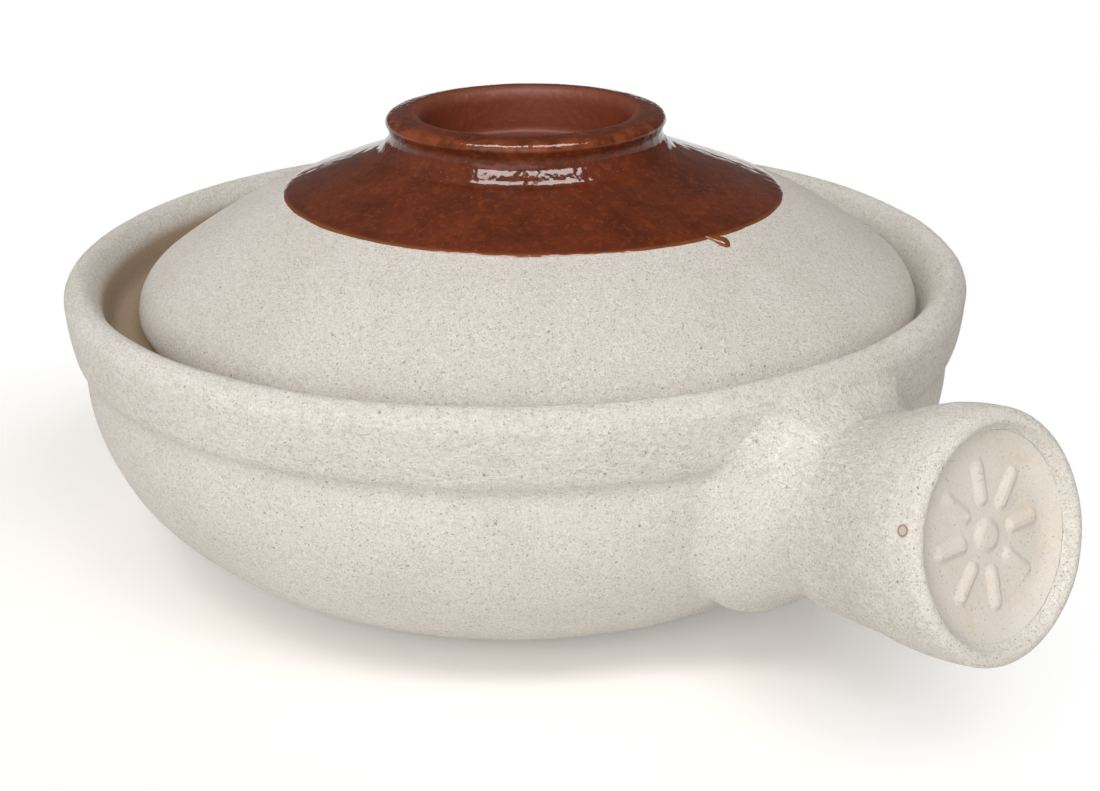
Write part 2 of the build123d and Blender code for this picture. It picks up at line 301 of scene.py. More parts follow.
@dataclass(frozen=True)
class SandyClay:
    """Unglazed sandy clay: a pale body with fine brown grit and a worm-like grain."""

    name: str
    body: Colour
    shade: Colour
    grit: Colour = tone(152, 120, 90)
    hollow: Colour = tone(178, 165, 148)
    fleck: Colour = tone(242, 239, 234)
    # painted shade: a brown darkening laid on the rim's inner wall in the gap under the lid's edge
    gap_shade: Colour = tone(158, 130, 96)
    grain: float = 0.36
    grain_depth: float = 0.00030
    grit_share: float = 0.8
    strokes: Strokes = Strokes.NONE
    stroke_depth: float = 0.0003
    fleck_share: float = 0.0
    blotch: float = 0.0
    # whether the painted shade of the rim's gap is laid on
    marked: bool = False
    gap_shaded: bool = False
    small_grit: Pair = (0.00125, 0.00021)
    large_grit: Pair = (0.0040, 0.00032)
    cloud_size: float = 0.030
    worm_size: float = 0.00078
    worm_twist: float = 2.2
    fine_size: float = 0.0004
    band_size: float = 0.0010
    band_twist: float = 1.1
    band_start: Pair = (0.0585, 0.0640)
    band_stretch: float = 0.052
    barrel_size: float = 0.0009
    barrel_twist: float = 1.0
    barrel_start: Pair = (0.1230, 0.1360)
    barrel_end: Pair = (0.1705, 0.1655)
    barrel_stretch: float = 0.42
    barrel_turn: float = 0.024
    zone_size: float = 0.008
    zone_rise: Pair = (0.004, 0.018)
    stain: Colour = tone(212, 188, 148)
    stain_size: float = 0.006
    # where the painted shade of the rim's gap lies, and the side away from the light where it is
    # darkest
    gap_shade_radius: Pair = (0.1112, 0.1090)
    gap_shade_top: Pair = (0.0780, 0.0725)
    gap_shade_foot: Pair = (0.0605, 0.0625)
    gap_shade_heading: Triple = (0.60, 0.80, 0.0)
    gap_shade_reach: Pair = (0.05, -0.08)
    mark_ring: Colour = tone(158, 118, 84)
    mark_middle: Colour = tone(198, 193, 187)

    def drawn_out(self, graph: Graph, place: Socket) -> tuple[Field, Field]:
        """Work out the noise that is drawn out along the strokes.

        Args:
            graph: the finish's graph.
            place: where the surface is.

        Returns:
            The noise and how strong the strokes are.
        """
        x, y, z = graph.parts(place)
        around = graph.point(y.angle_to(x) * self.band_stretch, z, graph.span(x, y))
        band = graph.noise(around, self.band_size, 2.0, self.band_twist)
        weight = z.step(*self.band_start)
        if self.strokes is Strokes.AROUND:
            return band, weight * 0.8 + 0.2
        reach = graph.along(place, HANDLE_ALONG)
        rise = graph.along(place, HANDLE_UP) - HANDLE_RISE
        drawn = graph.point(reach * self.barrel_stretch, y.angle_to(rise) * self.barrel_turn,
                            graph.span(y, rise) * self.barrel_stretch)
        barrel = graph.noise(drawn, self.barrel_size, 2.0, self.barrel_twist)
        share = reach.step(*self.barrel_start)
        scraped = share * reach.step(*self.barrel_end)
        return band * (1 - share) + barrel * share, scraped * 0.8 + weight * (1 - share)

    def scraped(self, graph: Graph, place: Socket, colour: Socket,
                height: Field) -> tuple[Socket, Field]:
        """Draw the potter's strokes over the clay.

        Args:
            graph: the finish's graph.
            place: where the surface is.
            colour: the clay's colour.
            height: the clay's relief.

        Returns:
            The colour and the relief with the strokes.
        """
        scrape, strength = self.drawn_out(graph, place)
        height = height + scrape * strength * (self.stroke_depth / self.grain_depth)
        colour = graph.mix(scrape.step(0.48, 0.32) * strength * 0.24, colour, self.hollow)
        colour = graph.mix(scrape.step(0.54, 0.70) * strength * 0.30, colour, self.fleck)
        if self.fleck_share > 0:
            rise = graph.along(place, HANDLE_UP) - HANDLE_RISE
            upper = rise.step(*self.zone_rise) * 0.8 + 0.2
            zone = graph.noise(place, self.zone_size, 1.0).step(0.42, 0.62) * upper
            white = scrape.step(0.53, 0.62) * zone * strength
            colour = graph.mix(white * self.fleck_share, colour, self.fleck)
        return colour, height

    def stains_and_gap_shade(self, graph: Graph, place: Socket, colour: Socket) -> Socket:
        """Lay the blotches and the painted shade in the rim's gap over the clay.

        Args:
            graph: the finish's graph.
            place: where the surface is.
            colour: the clay's colour.

        Returns:
            The colour with the stains that this clay has.
        """
        if self.blotch > 0:
            stain = graph.noise(place, self.stain_size, 2.0, 0.5).step(0.58, 0.76)
            colour = graph.mix(stain * self.blotch, colour, self.stain)
        # Painted shade: the gap between rim and lid is darkened brown, most strongly on the side
        # away from the light.
        if self.gap_shaded:
            x, y, z = graph.parts(place)
            gap = z.step(*self.gap_shade_top) * z.step(*self.gap_shade_foot)
            gap_shade = graph.span(x, y).step(*self.gap_shade_radius) * gap
            left = graph.along(place, self.gap_shade_heading).step(*self.gap_shade_reach)
            colour = graph.mix(gap_shade * (left * 0.78 + 0.08), colour, self.gap_shade)
        return colour

    def material(self) -> Material:
        """Build the finish.

        Returns:
            Its material.
        """
        graph = Graph.of_material(self.name)
        place = graph.place()
        cloud = graph.noise(place, self.cloud_size, 3.0)
        worm = graph.noise(place, self.worm_size, 1.0, self.worm_twist)
        fine = graph.noise(place, self.fine_size, 1.0)
        colour = graph.mix(cloud.step(0.35, 0.68) * 0.6, self.body, self.shade)
        colour = graph.mix(worm.step(0.50, 0.32) * self.grain, colour, self.hollow)
        colour = graph.mix(worm.step(0.50, 0.70) * self.grain, colour, self.fleck)
        height = worm * 0.7 + fine * 0.3
        if self.strokes is not Strokes.NONE:
            colour, height = self.scraped(graph, place, colour, height)
        # stains, and on the bowl the painted shade of the rim's gap
        colour = self.stains_and_gap_shade(graph, place, colour)
        small = graph.specks(place, *self.small_grit, self.grit_share)
        large = graph.specks(place, *self.large_grit, self.grit_share * 0.6)
        colour = graph.mix(small * 0.50, colour, self.grit)
        colour = graph.mix(large * 0.45, colour, self.grit)
        pits = large * -0.7 - small * 0.3
        if self.marked:
            away = graph.distance(place, MARK_PLACE)
            colour = graph.mix(away.hump(*MARK_RING, MARK_EDGE), colour, self.mark_ring)
            colour = graph.mix(away.step(*MARK_MIDDLE), colour, self.mark_middle)
        normal = graph.bump(height + pits, self.grain_depth)
        rough = 0.88 - fine.step(0.3, 0.8) * 0.10
        return graph.surface(Base_Color=colour, Roughness=rough, Normal=normal, IOR=CLAY_IOR,
                             Specular_IOR_Level=0.35)


@dataclass(frozen=True)
class BrownGlaze:
    """Glossy red-brown glaze that breaks to orange where it runs thin."""

    name: str
    deep: Colour = tone(84, 37, 19)
    warm: Colour = tone(110, 50, 26)
    thin: Colour = tone(148, 74, 36)
    edge: Colour = tone(140, 84, 42)
    inner: Colour = tone(122, 57, 31)
    pool: Colour = tone(62, 28, 16)
    speck: Colour = tone(168, 98, 58)
    coat_radius: float = 0.06615
    cloud_size: float = 0.012
    mottle_size: float = 0.0020
    patch_size: float = 0.005
    bead_place: Pair = (0.1156, 0.1185)
    bead_edge: float = 0.0012
    bead_wall: Pair = (0.0330, 0.0352)
    dish_wall: Pair = (0.0320, 0.0292)
    knob_foot: Pair = (0.1075, 0.1095)
    fleck: Pair = (0.0017, 0.00018)
    edge_width: Pair = (0.0010, 0.0002)
    ripple_size: float = 0.0018
    swell_size: float = 0.0042
    swell_depth: float = 0.00022

    def material(self) -> Material:
        """Build the finish.

        Returns:
            Its material.
        """
        graph = Graph.of_material(self.name)
        place = graph.place()
        x, y, z = graph.parts(place)
        centre, shift = (LID_CENTRE * MM).tolist(), (COAT_SHIFT * MM).tolist()
        across, along = x - centre[0], y - centre[1]
        radius = graph.span(across, along)
        edge_radius = graph.span(across - shift[0], along - shift[1])
        cloud = graph.noise(place, self.cloud_size, 3.0, 0.4)
        mottle = graph.noise(place, self.mottle_size, 2.0, 0.6)
        colour = graph.mix(cloud.step(0.22, 0.80), self.deep, self.warm)
        colour = graph.mix(mottle.step(0.50, 0.72) * 0.26, colour, self.thin)
        colour = graph.mix(mottle.step(0.46, 0.28) * 0.30, colour, self.pool)
        patches = graph.noise(place, self.patch_size, 2.0).step(0.42, 0.64)
        ridge = z.hump(*self.bead_place, self.bead_edge) * radius.step(*self.bead_wall) * patches
        colour = graph.mix(ridge * 0.60, colour, self.thin)
        inside = radius.step(*self.dish_wall)
        colour = graph.mix(inside * 0.8, colour, self.inner)
        colour = graph.mix(graph.specks(place, *self.fleck, 0.8) * 0.55, colour, self.speck)
        rim = edge_radius.step(*(self.coat_radius - width for width in self.edge_width))
        colour = graph.mix(rim * 0.55, colour, self.edge)
        rippled = z.step(*self.knob_foot) * 0.62 + 0.06
        ripple = graph.noise(place, self.ripple_size, 1.0) * rippled
        normal = graph.bump(graph.noise(place, self.swell_size, 1.0) + ripple, self.swell_depth)
        rough = 0.09 + inside * 0.46 + mottle.step(0.4, 0.8) * 0.07
        return graph.surface(Base_Color=colour, Roughness=rough, Normal=normal, IOR=GLAZE_IOR,
                             Specular_IOR_Level=0.25)


@dataclass(frozen=True)
class LiningGlaze:
    """The thin amber glaze inside the cooking space."""

    name: str
    body: Colour = tone(150, 104, 62)
    pooled: Colour = tone(112, 70, 38)
    thin: Colour = tone(178, 134, 88)
    cloud_size: float = 0.016
    mottle_size: float = 0.0028
    swell_size: float = 0.005
    swell_depth: float = 0.0002

    def material(self) -> Material:
        """Build the finish.

        Returns:
            Its material.
        """
        graph = Graph.of_material(self.name)
        place = graph.place()
        cloud = graph.noise(place, self.cloud_size, 3.0, 0.3)
        mottle = graph.noise(place, self.mottle_size, 2.0)
        colour = graph.mix(cloud.step(0.35, 0.70), self.body, self.pooled)
        colour = graph.mix(mottle.step(0.55, 0.8) * 0.3, colour, self.thin)
        normal = graph.bump(graph.noise(place, self.swell_size, 1.0), self.swell_depth)
        rough = 0.16 + mottle * 0.1
        return graph.surface(Base_Color=colour, Roughness=rough, Normal=normal, IOR=GLAZE_IOR)


# Profile lines and skins, in millimetres


@dataclass
class Outline:
    """A profile line in millimetres, as (distance from the axis, height), drawn as points."""

    points: list[Array]
    heading: Array
    spacing: float = 1.0

    @classmethod
    def begin(cls, start: Pair, heading: Pair = (1.0, 0.0), spacing: float = 1.0) -> "Outline":
        """Return a line of one point, with its heading and its points' spacing."""
        return cls([np.array(start, float)], np.zeros(2)).aimed(*heading, spacing)

    def aimed(self, across: float, up: float, spacing: float) -> "Outline":
        """Turn the line.

        Args:
            across: the new heading's part away from the axis.
            up: its part along the axis.
            spacing: the spacing of the points that are drawn next.

        Returns:
            The line itself.
        """
        self.heading = np.array([across, up]) / math.hypot(across, up)
        self.spacing = spacing
        return self

    def line(self, *ends: Pair) -> "Outline":
        """Draw straight lines.

        Args:
            *ends: where each ends.

        Returns:
            The line itself.
        """
        for end in ends:
            start = self.points[-1]
            step = np.array(end, float) - start
            length = float(np.linalg.norm(step))
            count = max(1, round(length / self.spacing))
            self.points += [start + step * (i + 1) / count for i in range(count)]
            self.heading = step / length
        return self

    def arc(self, *ends: Pair) -> "Outline":
        """Draw arcs, each tangent to what comes before it.

        Args:
            *ends: where each ends.

        Returns:
            The line itself.
        """
        for end in ends:
            start = self.points[-1]
            chord = np.array(end, float) - start
            side = np.array([-self.heading[1], self.heading[0]])
            bend = 2 * float(chord @ side) / float(chord @ chord)
            if abs(bend) < 1e-7:
                self.line(end)
                continue
            centre = start + side / bend
            turn = 2 * math.atan2(float(chord @ side), float(chord @ self.heading))
            count = max(2, round(abs(turn / bend) / self.spacing))
            for i in range(count):
                self.points.append(centre + _turned(start - centre, turn * (i + 1) / count))
            self.heading = _turned(self.heading, turn)
        return self

    def bend(self, middle: Pair, end: Pair) -> "Outline":
        """Draw an arc through three points, of which the first is the line's last.

        Args:
            middle: a point on the way.
            end: where it ends.

        Returns:
            The line itself.
        """
        start, others = self.points[-1], np.array([middle, end], float)
        sides = 2 * (others - start)
        sums = np.sum(others**2, axis=1) - start @ start
        spoke = start - np.linalg.solve(sides, sums)
        heading = np.array([-spoke[1], spoke[0]]) / np.linalg.norm(spoke)
        self.heading = heading if heading @ (others[0] - start) > 0 else -heading
        return self.arc(end)

    def eased(self, corners: Sequence[Pair], reaches: Sequence[float]) -> "Outline":
        """Round the line near its corners, one after the other.

        Args:
            corners: where they are.
            reaches: how far from each the line is rounded, in millimetres.

        Returns:
            The line itself.
        """
        line = np.array(self.points)
        for corner, reach in zip(corners, reaches):
            near = np.linalg.norm(line - np.array(corner, float), axis=1)
            weight = np.clip(1.4 - near / reach, 0, 1)[1:-1, None]
            for _ in range(max(2, round((reach / self.spacing) ** 2))):
                middle = (line[:-2] + line[2:]) / 2
                line[1:-1] += weight * 0.7 * (middle - line[1:-1])
        self.points = list(line)
        return self

    def array(self) -> Array:
        """Return the points as rows."""
        return np.array(self.points)


def _turned(vector: Array, angle: float) -> Array:
    """Return a plane vector turned by an angle."""
    c, s = math.cos(angle), math.sin(angle)
    return np.array([vector[0] * c - vector[1] * s, vector[0] * s + vector[1] * c])


@dataclass(frozen=True)
class Wave:
    """The unevenness that hands leave, as a smooth noise."""

    size: float
    seed: float
    height: float

    def at(self, points: Array) -> Array:
        """Work out how far the surface stands out.

        Args:
            points: places in millimetres, as the last axis of an array.

        Returns:
            One value in millimetres for each point.
        """
        flat = points.reshape(-1, 3) / self.size + self.seed
        values = np.fromiter((noise.noise(row) for row in flat.tolist()), float, len(flat))
        return values.reshape(points.shape[:-1]) * self.height


def smooth_step(value: Array, low: float, high: float) -> Array:
    """Return a smooth step from 0 at low to 1 at high."""
    share = np.clip((value - low) / (high - low), 0, 1)
    return share * share * (3 - 2 * share)


@dataclass
class Skin:
    """A surface as rings of points in millimetres, in the part's frame, with its normals."""

    grid: Array
    normals: Array

    @classmethod
    def turned(cls, outline: Array, segments: int, centre: Triple, along: Triple = (0, 0, 1),
               side: Triple = (1, 0, 0)) -> "Skin":
        """Turn an outline about an axis.

        Args:
            outline: rows of (distance from the axis, height along it); the clay is on its left.
            segments: how many points each ring has.
            centre: the axis's point at height zero.
            along: the axis's direction.
            side: a direction square to the axis, where the turn starts.

        Returns:
            The skin with its outward normals.
        """
        up = np.array(along, float)
        first = np.array(side, float)
        second = np.cross(up, first)
        turn = np.linspace(0, 2 * math.pi, segments, endpoint=False)
        spoke = np.outer(np.cos(turn), first) + np.outer(np.sin(turn), second)
        slope = np.gradient(outline, axis=0)
        slope /= np.linalg.norm(slope, axis=1)[:, None]
        grid = np.array(centre, float) + outline[:, None, :1] * spoke + outline[:, None, 1:] * up
        normals = slope[:, None, 1:] * spoke - slope[:, None, :1] * up
        return cls(grid, normals)

    def pushed(self, amount: Array) -> "Skin":
        """Return the skin moved along its normals by an amount for each point."""
        return Skin(self.grid + self.normals * amount[..., None], self.normals)

    def piece(self, name: str) -> Thing:
        """Make the skin's smooth mesh, with one point where a ring has no width.

        Args:
            name: the new object's name.

        Returns:
            The object.
        """
        verts: list[Array] = []
        rings: list[Array] = []
        count = self.grid.shape[1]
        for ring in self.grid:
            start = len(verts)
            if np.ptp(ring, axis=0).max() < NO_WIDTH:
                verts.append(ring[0])
                rings.append(np.full(count, start))
            else:
                verts.extend(ring)
                rings.append(np.arange(start, start + count))
        faces: list[tuple[int, ...]] = []
        for low, high in zip(rings, rings[1:]):
            for a, b, c, d in zip(low, np.roll(low, -1), np.roll(high, -1), high):
                corners = tuple(dict.fromkeys((int(a), int(b), int(c), int(d))))
                if len(corners) > 2:
                    faces.append(corners)
        mesh = bpy.data.meshes.new(name)
        mesh.from_pydata([tuple(v * MM) for v in verts], [], faces)
        mesh.polygons.foreach_set("use_smooth", [True] * len(mesh.polygons))
        mesh.update()
        return added(name, mesh)


def added(name: str, data: bpy.types.ID) -> Thing:
    """Add an object to the scene.

    Args:
        name: its name.
        data: its mesh, light or camera.

    Returns:
        The object.
    """
    thing = bpy.data.objects.new(name, data)
    bpy.context.scene.collection.objects.link(thing)
    return thing


def dressed(piece: Thing, material: Material) -> None:
    """Give a piece one material."""
    piece.data.materials.clear()
    piece.data.materials.append(material)


def report(piece: Thing, body: str) -> None:
    """Log one piece, its body and the number of its points."""
    LOG.info("%s rides on %s with %d points", piece.name, body, len(piece.data.vertices))


def on_handle(reach: float) -> Array:
    """Return the point of the handle's axis at a reach from its root."""
    return HANDLE_ROOT + reach * HANDLE_ALONG


@dataclass
class Bowl:
    """The thrown bowl with its rim band and the ledge inside it, as (radius, height)."""

    clay: SandyClay
    side: tuple[Pair, ...] = ((59.8, 0), (99.2, 19), (113.4, 43), (115, 60.8))
    wall_heading: Pair = (0.107, -1)
    lip_heading: Pair = (0.26, 0.966)
    cavity_heading: Pair = (0.08, -1.0)
    band_foot: Pair = (117.2, 62.6)
    lip_outer: Pair = (118.9, 74.2)
    lip_shoulder: Pair = (117.7, 78.9)
    lip_top: Pair = (114.2, 80.9)
    lip_back: Pair = (111.2, 79.3)
    lip_inner: Pair = (110, 76)
    ledge_outer: Pair = (107, 66.5)
    ledge_edge: Pair = (92, 66.5)
    ledge_under: Pair = (92, 62)
    inner: tuple[Pair, ...] = ((107.3, 50), (106.85, 45.48), (94.82, 24.46), (58, 8))
    finger_angles: tuple[float, ...] = (44.0, 40.0, 36.0)
    finger_place: Pair = (111.4, 78.6)
    finger_size: Triple = (0.95, 3.0, 2.6)
    finger_depth: float = 0.75
    roundings: tuple[float, ...] = (1.6, 1.3, 3.0, 5.0, 2.6, 1.6, 1.6, 2.5)
    flat_spacing: float = 6.0
    wall_spacing: float = 1.3
    lip_spacing: float = 0.6
    cavity_spacing: float = 2.0
    waves: tuple[Wave, ...] = (Wave(26.0, 3.1, 0.24), Wave(9.0, 7.7, 0.09))
    segments: int = 512
    foot_fade: Pair = (1.0, 8.0)
    top_fade: Pair = (76.0, 80.0)

    def outline(self) -> Array:
        """Draw the bowl's profile.

        Returns:
            Its points, from the middle of the base up the outside and down the inside.
        """
        wall = Outline.begin(self.side[-1], self.wall_heading, self.wall_spacing)
        wall.arc(*reversed(self.side[:-1]))
        line = Outline.begin((0, 0), (1, 0), self.flat_spacing).line(self.side[0])
        line.points += wall.points[-2::-1]
        line.spacing = self.lip_spacing
        line.line(self.band_foot).aimed(*self.lip_heading, self.lip_spacing).arc(self.lip_outer)
        line.bend(self.lip_shoulder, self.lip_top).bend(self.lip_back, self.lip_inner)
        line.line(self.ledge_outer, self.ledge_edge, self.ledge_under, self.inner[0])
        corners = (self.side[-1], self.band_foot, self.side[0], self.lip_inner, self.ledge_outer,
                   self.ledge_edge, self.ledge_under, self.inner[0])
        line.eased(corners, self.roundings)
        line.aimed(*self.cavity_heading, self.cavity_spacing).arc(*self.inner[1:])
        line.spacing = self.flat_spacing
        return line.line((0, self.inner[-1][1])).array()

    def wave(self, points: Array) -> Array:
        """Return how far the hand-thrown wall stands out from its turned line."""
        return sum(wave.at(points) for wave in self.waves)

    def build(self) -> None:
        """Make the bowl's shell, with its throwing waves and the finger marks on its rim."""
        skin = Skin.turned(self.outline(), self.segments, (0, 0, 0))
        flat, height = skin.grid[..., :2], skin.grid[..., 2]
        radius = np.linalg.norm(flat, axis=-1)
        outward = np.sum(skin.normals[..., :2] * flat, axis=-1) / np.maximum(radius, 1)
        outside = smooth_step(outward, 0.0, 0.5) * smooth_step(height, *self.foot_fade)
        top = smooth_step(height, *self.top_fade)
        amount = self.wave(skin.grid) * np.maximum(outside, top * 0.7)
        turn = np.degrees(np.arctan2(flat[..., 1], flat[..., 0]))
        for angle in self.finger_angles:
            lean, lift = radius - self.finger_place[0], height - self.finger_place[1]
            away = np.stack([turn - angle, lean, lift], axis=-1)
            amount -= self.finger_depth * np.exp(-np.sum((away / self.finger_size) ** 2, axis=-1))
        piece = skin.pushed(amount).piece("bowl_shell")
        dressed(piece, self.clay.material())
        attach(piece, "pot")
        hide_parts("bowl")
        report(piece, "pot")


@dataclass
class StubHandle:
    """The hollow stub handle: the barrel on its foot, drawn onto the wall, and its end disc."""

    clay: SandyClay
    disc_clay: SandyClay
    bowl: Bowl
    segments: int = 300
    barrel: tuple[Pair, ...] = ((2, 20.2), (9, 21.5), (17, 23.3), (33, 25.9), (51, 27.4))
    hip: Pair = (-34, 19.8)
    crest: Pair = (53.5, 25.2)
    flank: tuple[Pair, ...] = ((52.7, 23.6), (51.2, 22.3))
    recess_curve: tuple[Pair, ...] = (
        (0, 48.9), (17.5, 48.9), (19.5, 49.15), (21.2, 50), (22.3, 51.1))
    mouth_start: float = 18.0
    fan_reach: float = 11.0
    foot_root: Triple = (114.2, 0.0, 47.6)
    foot_angle: float = math.radians(-9)
    foot_back: Pair = (-27, 20)
    foot_curl: Pair = (-19.0, 30.6)
    foot_edge: Pair = (-7.8, 33.78)
    foot_shoulder: Pair = (-3, 31.78)
    foot_neck: Pair = (4.6, 18.0)
    shoulder_lift: float = 3.0
    foot_blend: Pair = (5.0, 12.0)
    wall_blend: float = 1.6
    flange_rings: int = 6
    face_tilt: float = 0.045
    disc_front: float = 48.9
    relief_height: float = 1.0
    boss_radius: float = 4.2
    petal_count: int = 8
    petal_half_width: float = 2.3
    petal_ends: Pair = (8.2, 14.6)
    relief_slope: float = 2.0
    boss_slope: float = 2.2
    disc_roundings: Pair = (2.6, 1.6)
    disc_spacing: float = 0.25
    disc_segments: int = 360
    spacing: float = 0.8
    lip_spacing: float = 0.4
    mouth_depth: float = 3.0
    lift_rise: Pair = (6.0, 28.0)
    lift_across: Pair = (4.0, 18.0)
    blend_rise: Pair = (-24.0, 4.0)
    face_range: Pair = (26.0, 51.0)
    barrel_area: tuple[Pair, Pair] = ((-40, 0), (60, 50))
    foot_area: tuple[Pair, Pair] = ((-34, 0), (26, 52))
    wall_area: tuple[Pair, Pair] = ((70, -12), (160, 96))
    barrel_steps: int = 9
    fan_steps: int = 120
    fan_angle: float = math.radians(80)
    ring_count: int = 64
    flange_step: float = 0.6
    search_start: float = 12.0
    search_rate: float = 0.9
    search_passes: int = 60
    settle_passes: int = 5
    wall_fade: Pair = (-3.0, 0.0)
    soft_wave: Wave = Wave(13.0, 1.3, 0.30)
    fine_wave: Wave = Wave(4.2, 5.9, 0.14)
    disc_wave: Wave = Wave(8.0, 2.2, 0.14)
    fine_range: Pair = (-47.0, -38.0)
    edge_dips: tuple[float, ...] = (0.7, 0.3, 0.12, 0.04)

    def __post_init__(self) -> None:
        """Draw the profiles and keep how far plane points lie outside each."""
        barrel = self.barrel_outline()
        closed = np.vstack([[(self.hip[0], 0.0)], barrel, [(barrel[-1, 0], 0.0)]])
        self.barrel_table = DepthTable.of(closed, *self.barrel_area)
        foot = Outline.begin((self.foot_back[0], 0), (0, 1), self.spacing).line(self.foot_back)
        foot.bend(self.foot_curl, self.foot_edge).aimed(1.0, 0.0, self.spacing)
        foot.arc(self.foot_shoulder, self.foot_neck).line((self.foot_neck[0], 0))
        self.foot_table = DepthTable.of(foot.array(), *self.foot_area)
        outline = self.bowl.outline()
        outer = outline[: int(np.argmax(outline[:, 1])) + 1]
        closed = np.vstack([outer, [[0.0, outer[-1, 1]]]])
        self.wall_table = DepthTable.of(closed, *self.wall_area)

    def barrel_outline(self) -> Array:
        """Return the barrel's line as (reach, radius), from inside the wall to its end ring."""
        line = Outline.begin(self.hip, (1, 0), self.spacing).line(self.barrel[0])
        return line.aimed(1.0, 0.0, self.spacing).arc(*self.barrel[1:]).array()

    def mouth_outline(self) -> Array:
        """Draw the mouth's line.

        Returns:
            Its points as (radius, reach), from the barrel over the crest to the disc.
        """
        barrel = self.barrel_outline()
        points = list(barrel[barrel[:, 0] > self.mouth_start + 0.5])
        line = Outline(points, np.zeros(2)).aimed(*(points[-1] - points[-2]), self.lip_spacing)
        line.arc(self.crest, *self.flank)
        line.line((self.disc_front - self.mouth_depth, self.flank[-1][1]))
        return line.array()[:, ::-1]

    def faced(self, points: Array) -> Array:
        """Lean the handle's end face back a little.

        Args:
            points: places on the handle.

        Returns:
            The places, moved along the handle.
        """
        away = points - HANDLE_ROOT
        share = smooth_step(away @ HANDLE_ALONG, *self.face_range)
        shift = -self.face_tilt * (away @ HANDLE_UP) * share
        return points + shift[..., None] * HANDLE_ALONG

    def handle_depth(self, points: Array) -> Array:
        """Work out how far points lie outside the barrel and foot, with the two run together.

        Args:
            points: the places.

        Returns:
            One depth for each, less than zero inside the clay.
        """
        away = points - HANDLE_ROOT
        reach = away @ HANDLE_ALONG
        side = np.linalg.norm(away - reach[..., None] * HANDLE_ALONG, axis=-1)
        barrel = self.barrel_table.at(np.stack([reach, side], axis=-1))
        along = np.array([math.cos(self.foot_angle), 0, math.sin(self.foot_angle)])
        up = np.array([-along[2], 0, along[0]])
        away = points - np.array(self.foot_root)
        reach, rise, across = away @ along, away @ up, np.abs(away[..., 1])
        lift = self.shoulder_lift * smooth_step(rise, *self.lift_rise)
        lift *= smooth_step(across, *self.lift_across)
        foot = self.foot_table.at(np.stack([reach - lift, np.hypot(rise, across)], axis=-1))
        low, high = self.foot_blend
        return blended(barrel, foot, low + (high - low) * smooth_step(rise, *self.blend_rise))

    def wall_depth(self, points: Array) -> Array:
        """Return how far points lie outside the bowl's wall."""
        flat = np.stack([np.hypot(points[..., 0], points[..., 1]), points[..., 2]], axis=-1)
        return self.wall_table.at(flat)

    def joined_depth(self, points: Array) -> Array:
        """Return how far points lie outside the handle run together with the wall."""
        return blended(self.handle_depth(points), self.wall_depth(points), self.wall_blend)

    def settled(self, points: Array) -> tuple[Array, Array]:
        """Move points onto the surface of the handle and wall.

        Args:
            points: places near it.

        Returns:
            The places on it and its normals there.
        """
        placed = points
        for _ in range(self.settle_passes):
            depth, normal = slope_of(self.joined_depth, placed)
            placed = placed - normal * depth[..., None]
        return placed, slope_of(self.joined_depth, placed)[1]

    def curves(self) -> tuple[Array, Array]:
        """Find the handle's surface on rays from its axis, from near its mouth to deep in the wall.

        Returns:
            The points, and how far each lies outside the wall.
        """
        turn = np.linspace(0, 2 * math.pi, self.segments, endpoint=False)
        side = np.cross(HANDLE_UP, HANDLE_ALONG)
        spoke = np.outer(np.cos(turn), side) + np.outer(np.sin(turn), HANDLE_UP)
        reaches = np.linspace(self.mouth_start, self.fan_reach, self.barrel_steps, endpoint=False)
        tilts = np.linspace(0, self.fan_angle, self.fan_steps)
        rays = [(on_handle(reach), spoke) for reach in reaches]
        rays += [(on_handle(self.fan_reach), spoke * math.cos(tilt) - HANDLE_ALONG * math.sin(tilt))
                 for tilt in tilts]
        start = np.array([np.broadcast_to(place, spoke.shape) for place, _ in rays])
        aim = np.array([way for _, way in rays])
        far = np.full(start.shape[:2], self.search_start)
        for _ in range(self.search_passes):
            far = far - self.search_rate * self.handle_depth(start + aim * far[..., None])
        curve = start + aim * far[..., None]
        return curve, self.wall_depth(curve)

    def column(self, line: Array, gap: Array) -> Array:
        """Cut one line of the surface off at the wall.

        Args:
            line: its points, from the mouth inward.
            gap: how far each lies outside the wall.

        Returns:
            Evenly spaced points of what is left.
        """
        last = int(np.argmax(gap < 0.0)) if (gap < 0.0).any() else len(gap) - 1
        share = gap[last - 1] / (gap[last - 1] - gap[last] + 1e-9)
        edge = line[last - 1] + (line[last] - line[last - 1]) * min(max(share, 0.0), 1.0)
        column = np.vstack([line[:last], edge])
        length = np.concatenate([[0], np.cumsum(np.linalg.norm(np.diff(column, axis=0), axis=1))])
        wanted = np.linspace(0, length[-1], self.ring_count)
        return np.stack([np.interp(wanted, length, column[:, i]) for i in range(3)], axis=1)

    def rings(self) -> tuple[Array, Array]:
        """Lay rings down the barrel and foot and out onto the wall.

        Returns:
            The rings' points and normals.
        """
        curve, clear = self.curves()
        columns = [self.column(curve[:, k], clear[:, k]) for k in range(self.segments)]
        placed, normals = self.settled(np.stack(columns, axis=1))
        rows, row_normals = [placed], [normals]
        last, normal = placed[-1], normals[-1]
        for _ in range(self.flange_rings):
            around = np.roll(last, -1, axis=0) - np.roll(last, 1, axis=0)
            out = np.cross(normal, around)
            out /= np.linalg.norm(out, axis=1)[:, None]
            out *= np.sign(np.sum(out * (last - on_handle(self.fan_reach)), axis=1))[:, None]
            last, normal = self.settled(last + out * self.flange_step)
            rows.append(last[None])
            row_normals.append(normal[None])
        return np.vstack(rows), np.vstack(row_normals)

